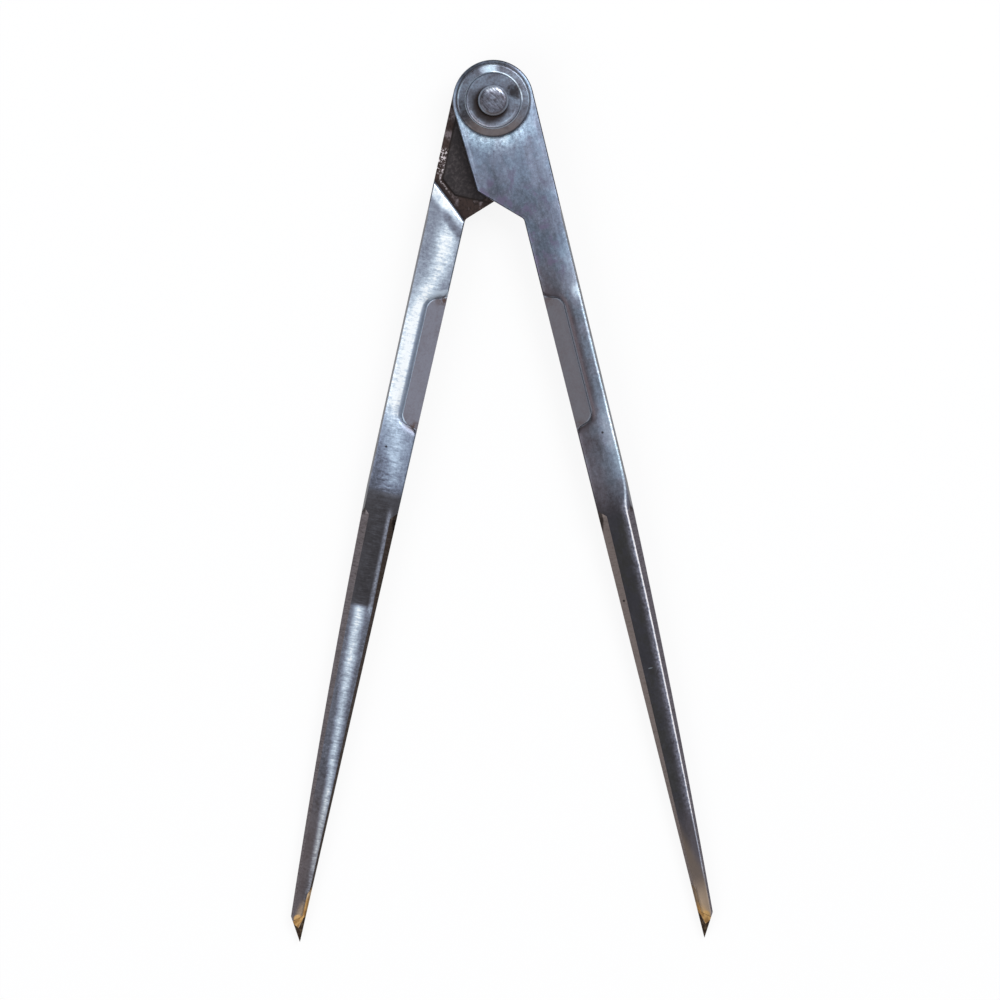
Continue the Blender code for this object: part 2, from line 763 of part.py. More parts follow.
def set_down(pivot):
    """Move the tool so that the origin is at the middle of its underside."""
    corners = all_corners()
    low = Vector([min(corner[axis] for corner in corners) for axis in range(3)])
    high = Vector([max(corner[axis] for corner in corners) for axis in range(3)])
    middle = (low + high) / 2
    pivot.location = (-middle.x, -middle.y, -low.z)


def build_divider():
    """The whole tool, lying open on its back."""
    steel = material("forged_steel", (0.46, 0.48, 0.53), 0.34)
    washer_steel = material("washer_steel", (0.42, 0.43, 0.47), 0.36)
    rivet_steel = material("rivet_steel", (0.52, 0.52, 0.55), 0.32)
    gold = material("braze_metal", (0.52, 0.32, 0.12), 0.42)
    hard = material("carbide", (0.10, 0.08, 0.07), 0.45)

    pivot = new_object("pivot", None)
    half_opening = math.radians(OPENING_DEG / 2)
    over = Matrix.Rotation(math.pi, 3, "Y")
    right = frame_for("right_side", Matrix.Rotation(half_opening, 3, "Z"), pivot)
    left = frame_for("left_side", Matrix.Rotation(-half_opening, 3, "Z") @ over, pivot)
    rear = frame_for("rear_side", over, pivot)

    leg, braze, carbide = make_leg()
    pieces = [(leg, "leg", steel), (braze, "braze", gold), (carbide, "carbide_tip", hard)]
    for item, piece, finish in pieces:
        attach(item, right, "right_" + piece, finish)
        turned_over(item, left, "left_" + piece)
    washer = make_washer()
    attach(washer, pivot, "front_washer", washer_steel)
    turned_over(washer, rear, "rear_washer")
    attach(make_rivet(), pivot, "pivot_rivet", rivet_steel)
    lean_back(pivot)
    set_down(pivot)


def main():
    for item in list(bpy.data.objects):
        bpy.data.objects.remove(item)
    build_divider()


main()
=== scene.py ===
import json
import math

import bpy
from mathutils import Matrix, Vector

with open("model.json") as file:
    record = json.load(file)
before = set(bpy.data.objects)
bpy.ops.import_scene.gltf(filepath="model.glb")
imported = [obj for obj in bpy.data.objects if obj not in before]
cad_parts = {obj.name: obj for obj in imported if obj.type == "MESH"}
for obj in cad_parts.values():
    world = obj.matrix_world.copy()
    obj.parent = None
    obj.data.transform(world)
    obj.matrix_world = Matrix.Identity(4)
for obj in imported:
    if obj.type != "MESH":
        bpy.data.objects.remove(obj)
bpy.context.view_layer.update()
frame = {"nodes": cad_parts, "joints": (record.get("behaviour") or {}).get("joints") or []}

MM = 0.001

# The leg's own measures, in millimetres: "down" is counted from the pivot towards the point,
# "outward" from the leg's straight inner edge, "level" from the plane between the two ears
INNER_EDGE = 0.2
HEAD_WIDTH = 11.0
TAPER_DOWN = 111.0
TAPER_WIDTH = 10.1
TAPER_BULGE = 0.66
POINT_BEVEL_DOWN = 232.3
POINT_BEVEL_WIDTH = 4.0
LEG_SPAN = 250.0
SHOULDER_FOOT_DOWN = 34.2
SHOULDER_SLOPE = 0.81
SLOPE_CHANGE_DOWN = 143.8
RECESS_DOWN = 56.0
RECESS_END_DOWN = 93.4
RECESS_SLANT = 0.32
RECESS_REACH = 4.9
RECESS_CORNER = 2.5
PAD_MIDDLE_LEVEL = 0.3
PAD_INSET = 2.2
PAD_END_DOWN = 27.8
EAR_INNER_LEVEL = 1.5
DARK_ZONE_DOWN = 112.0
FLATS_DOWN = 116.0
BRAZE_WIDTH = 1.2
BRAZE_STRIP_DOWN = 224.4
BRAZE_STRIP_END_DOWN = 232.0

# Washer and rivet, in millimetres from the pivot's axis
DISH_FOOT_RADIUS = 7.25
DISH_RADIUS = 7.85
WASHER_RADIUS = 10.05
RIVET_HEAD_RADIUS = 4.2
ARC_RADIUS = 6.7

# In metres: how far the painted corner shade and the floor's shade look for a neighbour, and how deep the
# bumps are
CORNER_SHADE_REACH = 1.4 * MM
FLOOR_SHADE_REACH = 5 * MM
FINE_BUMP = 0.012 * MM
FAINT_BUMP = 0.01 * MM

# Light: each lamp's name, place, width and power, and the world from the horizon upwards
LAMPS = [("key", (0.5, 0.6, 1.1), 0.7, 9.0), ("fill", (-0.7, -0.3, 0.9), 0.8, 4.0)]
WORLD_STRENGTH = 0.8
WORLD_STOPS = [(0.0, (0.25, 0.25, 0.26, 1.0)), (0.9, (0.85, 0.86, 0.88, 1.0))]

# Floor: its half width in metres, how much of its look is plain white, and the rays that see it so
FLOOR_HALF_WIDTH = 3.0
FLOOR_WHITE_SHARE = 0.88
SEEN_RAYS = ("Is Camera Ray", "Is Glossy Ray", "Is Transmission Ray")

# Camera: it looks straight down, and turns a little about its own axis
PHOTO_SIZE = 1000
PHOTO_PIXELS_PER_MM = 3.622
PHOTO_PIVOT = (493.3, 100.3)
CAMERA_ROLL_DEG = -0.605
CAMERA_HEIGHT = 4.0
SENSOR_WIDTH = 36.0


# Colours, as the eye reads them on a screen, from 0 to 255

def colour(red, green, blue):
    """A screen colour as the linear colour that nodes take."""
    linear = []
    for value in (red, green, blue):
        share = value / 255
        linear.append(share / 12.92 if share <= 0.04045 else ((share + 0.055) / 1.055) ** 2.4)
    return (*linear, 1.0)


STEEL_TONES = [
    (0.08, colour(22, 19, 20)),
    (0.25, colour(62, 62, 67)),
    (0.40, colour(96, 99, 110)),
    (0.52, colour(124, 130, 146)),
    (0.67, colour(158, 169, 185)),
    (0.84, colour(201, 215, 229)),
    (0.97, colour(244, 249, 252)),
]
RUST = colour(74, 50, 38)
# Dark colour of real dirt and pits, used also for painted shade and shadows
DIRT_AND_SHADE = colour(38, 31, 29)
VIOLET = colour(104, 98, 122)
WARM_SHADE = colour(92, 80, 84)
RECESS_SHADE = colour(72, 63, 66)
WALL_SHEEN_BLUE = colour(126, 138, 160)
EDGE_SHADE = colour(70, 65, 72)
REFLECTION_DARK = colour(56, 57, 62)
HEAT_TAN = colour(110, 98, 88)
HEAT_CREAM = colour(172, 150, 126)
TIP_PURPLE = colour(94, 86, 88)
WARM_TINT = (1.04, 1.0, 0.95, 1.0)
STRAW_TINT = (1.10, 1.0, 0.90, 1.0)
SEA_TINT = (0.93, 1.01, 1.02, 1.0)
BLUSH_TINT = (1.08, 0.98, 0.98, 1.0)
COOL_TINT = (0.90, 0.98, 1.08, 1.0)
LAP_RECESS_FLOOR = colour(120, 121, 133)
EAR_RECESS_FLOOR = colour(101, 100, 107)
PAD_DARK = colour(48, 44, 46)
PAD_LIGHT = colour(80, 74, 75)
BAND_BROWN = colour(62, 49, 46)
BAND_GREY = colour(128, 118, 122)
BAND_SPECK_AND_GLINT = colour(232, 224, 228)
LAP_OUTER_FLAT = colour(138, 130, 133)
LAP_INNER_FLAT = colour(90, 78, 70)
EAR_OUTER_FLAT = colour(132, 126, 134)
EAR_INNER_FLAT = colour(148, 136, 132)
FLAT_DARK = colour(62, 54, 52)
FLAT_LIGHT = colour(166, 158, 160)
RIM_BROWN = colour(112, 101, 98)
REFLECTION_DARK_GREEN = colour(54, 55, 52)
GOLD = colour(204, 164, 108)
GOLD_HIGHLIGHT = colour(220, 198, 168)
GOLD_DEEP = colour(160, 122, 76)
CARBIDE_DARK = colour(58, 46, 38)
CARBIDE_LIGHT = colour(100, 86, 70)
FLOOR_GREY = colour(240, 240, 242)


# Node graphs

class Field:
    """A number, colour or vector that varies over a surface: the output of one node."""

    def __init__(self, graph, socket):
        self.graph = graph
        self.socket = socket

    def __add__(self, other):
        return self.graph.math("ADD", self, other)

    def __radd__(self, other):
        return self.graph.math("ADD", other, self)

    def __sub__(self, other):
        return self.graph.math("SUBTRACT", self, other)

    def __rsub__(self, other):
        return self.graph.math("SUBTRACT", other, self)

    def __mul__(self, other):
        return self.graph.math("MULTIPLY", self, other)

    def __truediv__(self, other):
        return self.graph.math("DIVIDE", self, other)


class Graph:
    """The node tree of one material, with a short method for each kind of node in use."""

    def __init__(self, name):
        self.material = bpy.data.materials.new(name)
        self.material.use_nodes = True
        self.tree = self.material.node_tree
        self.shader = self.tree.nodes["Principled BSDF"]

    def put(self, socket, value):
        """Give an input a field or a constant."""
        if isinstance(value, Field):
            self.tree.links.new(value.socket, socket)
        else:
            socket.default_value = value

    def node(self, kind, inputs, output, **settings):
        """Add a node, fill its inputs and return one output as a field."""
        made = self.tree.nodes.new(kind)
        for name, value in settings.items():
            setattr(made, name, value)
        for key, value in inputs.items():
            self.put(made.inputs[key], value)
        return Field(self, made.outputs[output])

    def math(self, operation, first, second=0.0):
        return self.node("ShaderNodeMath", {0: first, 1: second}, 0, operation=operation)

    def clamp(self, value):
        return self.node("ShaderNodeClamp", {"Value": value}, 0)

    def step(self, value, low, high):
        """0 at low and 1 at high, smooth between them; low may be the larger number."""
        inputs = {"Value": value, "From Min": low, "From Max": high}
        return self.node("ShaderNodeMapRange", inputs, 0, interpolation_type="SMOOTHSTEP")

    def bump_at(self, value, centre, reach):
        """1 at the centre, falling smoothly to 0 at a distance of reach."""
        distance = self.math("ABSOLUTE", value - centre)
        return self.step(distance, reach, 0.0)

    def mix(self, share, first, second):
        """Blend two colours."""
        inputs = {0: share, 6: first, 7: second}
        return self.node("ShaderNodeMix", inputs, 2, data_type="RGBA")

    def tint(self, share, shade, factors):
        """Multiply a colour by another."""
        inputs = {0: share, 6: shade, 7: factors}
        return self.node("ShaderNodeMix", inputs, 2, data_type="RGBA", blend_type="MULTIPLY")

    def tones(self, value, stops):
        """Colour from a ramp of (position, colour) stops."""
        made = self.tree.nodes.new("ShaderNodeValToRGB")
        elements = made.color_ramp.elements
        while len(elements) < len(stops):
            elements.new(1.0)
        for element, (position, shade) in zip(elements, stops):
            element.position = position
            element.color = shade
        self.put(made.inputs[0], value)
        return Field(self, made.outputs[0])

    def level_along(self, value, stops, span):
        """Number from a list of (place, number) stops, of at most 4; the places end before span."""
        scale = 4.0
        shades = [(place / span, (*[number / scale] * 3, 1.0)) for place, number in stops]
        return self.tones(value / span, shades) * scale

    def band(self, value, low, high, soft):
        """1 between low and high, smooth at both borders over a width of soft."""
        rise = self.step(value, low - soft / 2, low + soft / 2)
        return rise * self.step(value, high + soft / 2, high - soft / 2)

    def length(self, first, second):
        """Length of a plane vector."""
        return self.math("SQRT", first * first + second * second)

    def vector(self, x, y, z):
        return self.node("ShaderNodeCombineXYZ", {0: x, 1: y, 2: z}, 0)

    def scaled(self, vector, factors):
        inputs = {0: vector, 1: factors}
        return self.node("ShaderNodeVectorMath", inputs, 0, operation="MULTIPLY")

    def noise(self, vector, factors, detail=2.0, roughness=0.5):
        """Noise from 0 to 1, whose grain is one over the factors along each direction."""
        inputs = {"Vector": self.scaled(vector, factors), "Scale": 1.0}
        inputs.update({"Detail": detail, "Roughness": roughness})
        return self.node("ShaderNodeTexNoise", inputs, 0)

    def openness(self, distance):
        """1 in the open, less in a corner; the distance is in metres."""
        inputs = {"Distance": distance}
        return self.node("ShaderNodeAmbientOcclusion", inputs, "AO", samples=8)

    def bump(self, height, depth):
        """Bump the surface; the depth is in metres for a height of 1."""
        inputs = {"Strength": 1.0, "Distance": depth, "Height": height}
        self.put(self.shader.inputs["Normal"], self.node("ShaderNodeBump", inputs, 0))

    def show_white(self, share):
        """Blend white light into what the camera and reflections see, and into nothing else."""
        rays = self.tree.nodes.new("ShaderNodeLightPath")
        seen = [Field(self, rays.outputs[name]) for name in SEEN_RAYS]
        either = self.math("MAXIMUM", self.math("MAXIMUM", seen[0], seen[1]), seen[2])
        glow = self.node("ShaderNodeEmission", {"Color": (1.0, 1.0, 1.0, 1.0), "Strength": 1.0}, 0)
        surface = Field(self, self.shader.outputs[0])
        both = self.node("ShaderNodeMixShader", {0: either * share, 1: surface, 2: glow}, 0)
        self.put(self.tree.nodes["Material Output"].inputs["Surface"], both)

    def finish(self, base_colour, roughness, metallic=1.0):
        self.put(self.shader.inputs["Base Color"], base_colour)
        self.put(self.shader.inputs["Roughness"], roughness)
        self.put(self.shader.inputs["Metallic"], metallic)
        return self.material


# Frames of the pieces

def pivot_frame():
    """The pivot's place and directions at rest: Z along its axis, Y towards the head."""
    joint = frame["joints"][0]
    axis = Vector(joint["axis"]).normalized()
    across = Vector((1.0, 0.0, 0.0))
    matrix = Matrix((across, axis.cross(across), axis)).transposed().to_4x4()
    return Matrix.Translation(joint["pos_m"]) @ matrix


def leg_frame(side):
    """A leg's own frame: Y away from its point, X outward, Z on the side that its ear is on."""
    half_opening = math.radians(-frame["joints"][0]["range_deg"][0] / 2)
    turn = pivot_frame() @ Matrix.Rotation(side * half_opening, 4, "Z")
    return turn if side > 0 else turn @ Matrix.Rotation(math.pi, 4, "Y")


class Place:
    """Where on a piece a point lies, in millimetres, and which way it faces, in its own frame."""

    def __init__(self, graph, matrix):
        inverse = matrix.inverted()
        coordinates = graph.tree.nodes.new("ShaderNodeTexCoord")
        inputs = {
            "Vector": Field(graph, coordinates.outputs["Object"]),
            "Location": inverse.translation / MM,
            "Rotation": inverse.to_euler(),
            "Scale": (1 / MM,) * 3,
        }
        self.vector = graph.node("ShaderNodeMapping", inputs, 0)
        parts = graph.tree.nodes.new("ShaderNodeSeparateXYZ")
        graph.put(parts.inputs[0], self.vector)
        self.x, self.y, self.z = [Field(graph, output) for output in parts.outputs]
        normal = Field(graph, coordinates.outputs["Normal"])
        inputs = {0: normal, 1: matrix.to_3x3().col[2]}
        self.facing = graph.node("ShaderNodeVectorMath", inputs, "Value", operation="DOT_PRODUCT")


class LegPlace(Place):
    """A place on a leg, with its distances from the leg's edges, shoulder and recess."""

    def __init__(self, graph, side):
        super().__init__(graph, leg_frame(side))
        self.down = self.y * -1.0
        self.outward = self.x - INNER_EDGE
        share = graph.clamp((self.down - TAPER_DOWN) / (POINT_BEVEL_DOWN - TAPER_DOWN))
        width = share * (POINT_BEVEL_WIDTH - TAPER_WIDTH) + share * (1.0 - share) * (4 * TAPER_BULGE)
        above = graph.math("MAXIMUM", TAPER_DOWN - self.down, 0.0)
        width = width + above * ((HEAD_WIDTH - TAPER_WIDTH) / TAPER_DOWN) + TAPER_WIDTH
        self.outer_gap = width - self.outward
        self.across = self.outward / width
        # 1 on the broad faces, about 0.8 on the ground flats, 0.3 on the draft and 0 on the sides
        self.flatness = graph.math("ABSOLUTE", self.facing)
        self.broad = graph.step(self.flatness, 0.88, 0.95)

        slope = math.hypot(1.0, SHOULDER_SLOPE)
        shoulder_down = SHOULDER_FOOT_DOWN - self.outward * SHOULDER_SLOPE
        self.below_shoulder = (self.down - shoulder_down) / slope

        start = self.outward * RECESS_SLANT + RECESS_DOWN
        end = RECESS_END_DOWN - self.outward * RECESS_SLANT
        ends = graph.math("MAXIMUM", start - self.down, self.down - end) + RECESS_CORNER
        reach = self.outward - (RECESS_REACH - RECESS_CORNER)
        corner = graph.length(graph.math("MAXIMUM", ends, 0.0), graph.math("MAXIMUM", reach, 0.0))
        inside = graph.math("MINIMUM", graph.math("MAXIMUM", ends, reach), 0.0)
        self.from_recess = corner + inside - RECESS_CORNER

    def along(self, stops):
        """Number from a list of (down, number) stops."""
        return self.down.graph.level_along(self.down, stops, LEG_SPAN)


# Steel of the legs. Each list holds (down, number) stops; brightness runs from 0, black, to 1, white. The
# brightness lists hold the steel's own tone together with painted bright and dark reflections of the ground
# faces, and the highlight lists place and size painted highlights

LAP_INNER = [(26, 0.58), (34, 0.62), (40, 0.64), (46, 0.62), (54, 0.56), (92, 0.58), (108, 0.55),
             (110.8, 0.48), (113.2, 0.30), (118, 0.27), (143.4, 0.25), (144.4, 0.42), (172, 0.41),
             (196, 0.36), (226, 0.36)]
LAP_OUTER = [(26, 0.56), (34, 0.57), (50, 0.57), (60, 0.74), (67, 0.84), (84, 0.81), (90, 0.72),
             (95, 0.54), (104, 0.42), (110.8, 0.34), (113.2, 0.28), (118, 0.26), (143.4, 0.26),
             (144.4, 0.42), (172, 0.40), (190, 0.34), (226, 0.33)]
LAP_HIGHLIGHT_PLACE = [(36, 0.36), (48, 0.38), (56, 0.55), (62, 0.72), (86, 0.74), (94, 0.60), (104, 0.45),
                   (143, 0.51), (154, 0.48), (172, 0.43), (184, 0.35), (196, 0.29), (208, 0.25), (225, 0.20)]
LAP_HIGHLIGHT_REACH = [(36, 0.42), (48, 0.44), (60, 0.34), (86, 0.34), (94, 0.46), (112, 0.42), (144, 0.27),
                   (175, 0.29), (200, 0.28)]
LAP_HIGHLIGHT_GAIN = [(34, 0.06), (39, 0.30), (50, 0.30), (58, 0.28), (66, 0.20), (84, 0.20), (92, 0.20),
                  (100, 0.23), (108, 0.16), (110.8, 0.10), (113.2, 0.0), (143.6, 0.0), (144.6, 0.48),
                  (160, 0.46), (172, 0.32), (184, 0.42), (200, 0.42), (212, 0.40), (220, 0.26), (230, 0.10)]
EAR_INNER = [(0, 0.48), (12, 0.49), (20, 0.53), (30, 0.405), (46, 0.42), (53, 0.38), (90, 0.38),
             (98, 0.36), (108, 0.37), (113, 0.30), (118, 0.235), (160, 0.24), (170, 0.26), (205, 0.27),
             (211, 0.30), (218, 0.38), (228, 0.50)]
EAR_OUTER = [(0, 0.49), (14, 0.49), (24, 0.51), (34, 0.52), (46, 0.59), (54, 0.57), (62, 0.45),
             (82, 0.46), (92, 0.60), (98, 0.64), (106, 0.58), (112, 0.44), (118, 0.33), (205, 0.32),
             (216, 0.32), (228, 0.50)]
EAR_HIGHLIGHT_GAIN = [(52, 0.0), (58, 0.30), (70, 0.32), (98, 0.30), (110, 0.22), (116, 0.50), (122, 0.74),
                 (200, 0.72), (210, 0.52), (218, 0.44), (228, 0.34)]
EAR_HIGHLIGHT_GAP = [(52, 0.75), (104, 0.7), (112, 1.0), (118, 2.0), (121, 1.85), (144, 1.5), (168, 1.25),
                (190, 0.95), (205, 0.75), (225, 0.5)]
LAP_LINE_PLACE = [(117, 2.2), (124, 2.0), (146, 1.6)]

# Marks on the upper face of each leg, by its side: pits at (down, outward), and nicks that also have
# their half length along the leg and across it
PITS = {-1: [(99.7, 7.3)], 1: [(96.2, 6.7), (142.8, 1.1)]}
NICKS = {-1: [], 1: [(13.8, -4.9, 0.5, 0.3), (162.6, 3.7, 0.25, 0.9)]}

# Where the brazing left its colours: (down, outward) of the middle of each spot
CREAM_SPOT = (231.5, 1.0)
GOLD_SPOT = (232.6, 1.9)
GOLD_WASH = (233.5, 1.0)


def lap_tone(graph, place, wander, cloud, grit):
    """Brightness of the face with the cut shoulder, with a painted highlight along its crown and below the
    shoulder, and where it lies in the painted dark zone.
    """
    brush = graph.noise(place.vector, (0.42, 2.1, 0.5), 2.0, 0.7) - 0.5
    distance = place.across + wander * 0.20
    # Painted highlight along the crown of the face
    highlight = graph.bump_at(distance, place.along(LAP_HIGHLIGHT_PLACE), place.along(LAP_HIGHLIGHT_REACH))
    down = place.down + wander * 1.4
    inner = graph.level_along(down, LAP_INNER, LEG_SPAN)
    outer = graph.level_along(down, LAP_OUTER, LEG_SPAN)
    share = graph.step(distance, 0.25, 0.75)
    tone = inner * (1.0 - share) + outer * share + highlight * place.along(LAP_HIGHLIGHT_GAIN)
    # The dark zone is a painted dark reflection along the steeper part of the face
    dark_zone = graph.band(down, DARK_ZONE_DOWN, SLOPE_CHANGE_DOWN, 0.6)
    worn = graph.band(place.down, 34.0, DARK_ZONE_DOWN, 6.0) * 0.22
    worn = worn + graph.step(place.down, 144.0, 152.0) * 0.18
    marks = brush * (highlight * 0.52 + 0.16) + cloud * 0.20 + grit * (worn + 0.26)
    tone = tone + marks * (1.0 - dark_zone * 0.65)

    # Painted highlight on and below the rounded shoulder, with painted shade on its arris and a painted
    # shade band behind it
    reach = graph.step(place.outward, 4.4, 7.0) * 1.1
    shoulder_highlight = graph.step(place.below_shoulder + cloud - reach, 2.6, 1.2)
    bright = graph.step(place.outward, 0.2, 3.6) * 0.24 + 0.68 + cloud * 0.4 + grit * 0.4
    bright = bright - graph.step(place.flatness, 0.98, 0.84) * 0.30
    tone = tone * (1.0 - shoulder_highlight) + bright * shoulder_highlight
    trough_shade = graph.band(place.below_shoulder + cloud * 0.8, 2.4, 4.5, 1.4)
    trough_shade = trough_shade * (graph.step(place.outward, 7.0, 4.4) * 0.65 + 0.15)
    tone = tone * (1.0 - trough_shade) + trough_shade * (grit * 0.4 + 0.42)
    flat_line = graph.bump_at(place.outward, place.along(LAP_LINE_PLACE), 1.1)
    tone = tone + flat_line * graph.band(place.down, 117.0, 146.0, 3.0) * (grit * 0.6 + 0.26)
    return tone, dark_zone


def lap_side_shade(graph, place, wander, cloud, grit):
    """Broad face with the cut shoulder: ground bright, with painted highlights, a painted dark zone and fine
    marks across its length.
    """
    tone, dark_zone = lap_tone(graph, place, wander, cloud, grit)
    shade = graph.tones(tone, STEEL_TONES)
    below_recess = graph.band(place.down, 90.0, DARK_ZONE_DOWN, 4.0)
    shade = graph.tint(below_recess * 0.6, shade, COOL_TINT)
    shade = graph.tint(dark_zone, shade, WARM_TINT)
    shade = graph.tint(graph.step(place.down, 186.0, 216.0), shade, STRAW_TINT)
    heated = graph.step(place.down + cloud * 8.0, 184.0, 214.0) * graph.step(place.across, 0.1, 0.6)
    return graph.mix(heated * 0.65, shade, TIP_PURPLE)


def lower_part(graph, place):
    """1 on the tapered, ground part of the leg."""
    return graph.step(place.down, DARK_ZONE_DOWN, DARK_ZONE_DOWN + 6.0)


def head_tone(graph, place, grit):
    """What the washer's surroundings add to the brightness: a painted halo of light below it, painted
    highlight and shade lines round it, and a painted highlight line at the ear's left edge.
    """
    radius = graph.length(place.x, place.y)
    foot = (place.x * -0.25 - place.y * 0.97) / radius
    halo = graph.step(radius, 16.0, 10.2) * graph.step(foot, 0.2, 0.95)
    tone = halo * 0.29 + grit * halo * 0.90
    column_highlight = graph.bump_at(place.outer_gap, 2.3, 1.7) * graph.band(place.down, 2.0, 24.0, 6.0)
    tone = tone + column_highlight * 0.06
    ring = graph.band(radius, WASHER_RADIUS + 0.3, WASHER_RADIUS + 1.0, 0.3)
    ring = ring * graph.step(place.down, 9.0, 2.0)
    sideways = graph.math("ABSOLUTE", place.x / radius)
    tone = tone + ring * (graph.step(sideways, 0.60, 0.95) * 0.28 - 0.14)
    # Painted shade where the washer meets the ear
    contact_shade = graph.bump_at(radius, WASHER_RADIUS + 0.15, 0.4)
    tone = tone - contact_shade * 0.12
    left_highlight = graph.bump_at(place.x + 11.0 - place.down * 0.034, 0.85, 0.5)
    return tone + left_highlight * graph.band(place.down, 1.0, 17.0, 4.0) * 0.10


def ear_tone(graph, place, wander, cloud, grit):
    """Brightness of the face on the ear's side, with the painted light round the washer but without its long
    painted highlight line.
    """
    streak = graph.noise(place.vector, (1.7, 0.30, 0.5), 3.0, 0.7) - 0.5
    down = place.down + wander * 4.0
    inner = graph.level_along(down, EAR_INNER, LEG_SPAN)
    outer = graph.level_along(down, EAR_OUTER, LEG_SPAN)
    share = graph.step(place.across + wander * 0.22, 0.42, 0.92)
    rough = 1.0 - lower_part(graph, place) * 0.45
    tone = inner * (1.0 - share) + outer * share
    tone = tone + (streak * 0.16 + cloud * 0.24 + grit * 0.30) * rough
    tone = tone + head_tone(graph, place, grit)
    low_inner = graph.step(place.outward, -1.0, -5.0) * graph.band(place.down, 17.0, 28.0, 5.0)
    tone = tone - low_inner * 0.07
    patch = graph.length((place.down - 56.5) / 3.2, (place.outer_gap - 1.7) / 1.5)
    return tone + graph.step(patch + cloud, 1.0, 0.2) * 0.22


def ear_side_shade(graph, place, wander, cloud, grit):
    """Broad face on the ear's side: duller, cloudy and grainy, with a painted highlight line at its outer
    flat and a painted dark reflection on the lower leg.
    """
    tone = ear_tone(graph, place, wander, cloud, grit)
    lower = lower_part(graph, place)
    # Painted highlight line along the outer flat, with a painted glow beside it on the lower leg
    from_highlight = place.outer_gap - place.along(EAR_HIGHLIGHT_GAP)
    highlight_line = graph.bump_at(from_highlight, 0.0, 0.52)
    tone = tone + highlight_line * (grit * 1.6 + 1.0) * place.along(EAR_HIGHLIGHT_GAIN)
    below = graph.bump_at(from_highlight, 0.5, 1.7) * graph.band(place.down, 115.0, 204.0, 6.0)
    tone = tone + below * (grit * 0.6 + 0.13)

    shade = graph.tones(tone, STEEL_TONES)
    shade = graph.tint(graph.step(place.down, 56.0, 44.0) * 0.5, shade, COOL_TINT)
    patches = graph.noise(place.vector, (0.20, 0.13, 0.20), 3.0, 0.6)
    shade = graph.tint(graph.step(patches, 0.42, 0.60) * (1.0 - lower), shade, SEA_TINT)
    shade = graph.tint(lower * 0.8, shade, BLUSH_TINT)
    blotch = graph.step(graph.noise(place.vector, (0.34, 0.30, 0.34), 3.0, 0.6), 0.50, 0.66)
    near_crotch = graph.band(place.down, 20.0, 52.0, 7.0) * graph.step(place.across, 0.95, 0.5)
    shade = graph.mix(blotch * near_crotch * 0.75, shade, VIOLET)
    warm = graph.step(place.across + wander * 0.3, 0.72, 0.15) * graph.band(place.down, 46.0, 116.0, 8.0)
    shade = graph.mix(warm * 0.40, shade, WARM_SHADE)
    # Painted dark reflection over the lower face, away from the highlight line
    reflected_dark = graph.band(place.down, 118.0, 214.0, 6.0) * graph.step(highlight_line, 0.5, 0.0)
    reflected_shade = graph.mix(graph.step(patches + grit * 0.4, 0.40, 0.62), REFLECTION_DARK_GREEN, REFLECTION_DARK)
    shade = graph.mix(reflected_dark * graph.step(place.outer_gap, 1.8, 4.2) * 0.6, shade, reflected_shade)
    dull = graph.step(place.down, 198.0, 212.0) * graph.step(highlight_line, 0.9, 0.3)
    shade = graph.mix(dull * 0.4, shade, TIP_PURPLE)
    tan = graph.step(place.down - place.across * 20.0 + cloud * 6.0, 200.0, 209.0)
    tanned = graph.mix(graph.step(place.down, 221.0, 229.0), HEAT_TAN, HEAT_CREAM)
    return graph.mix(tan * 0.80, shade, tanned)


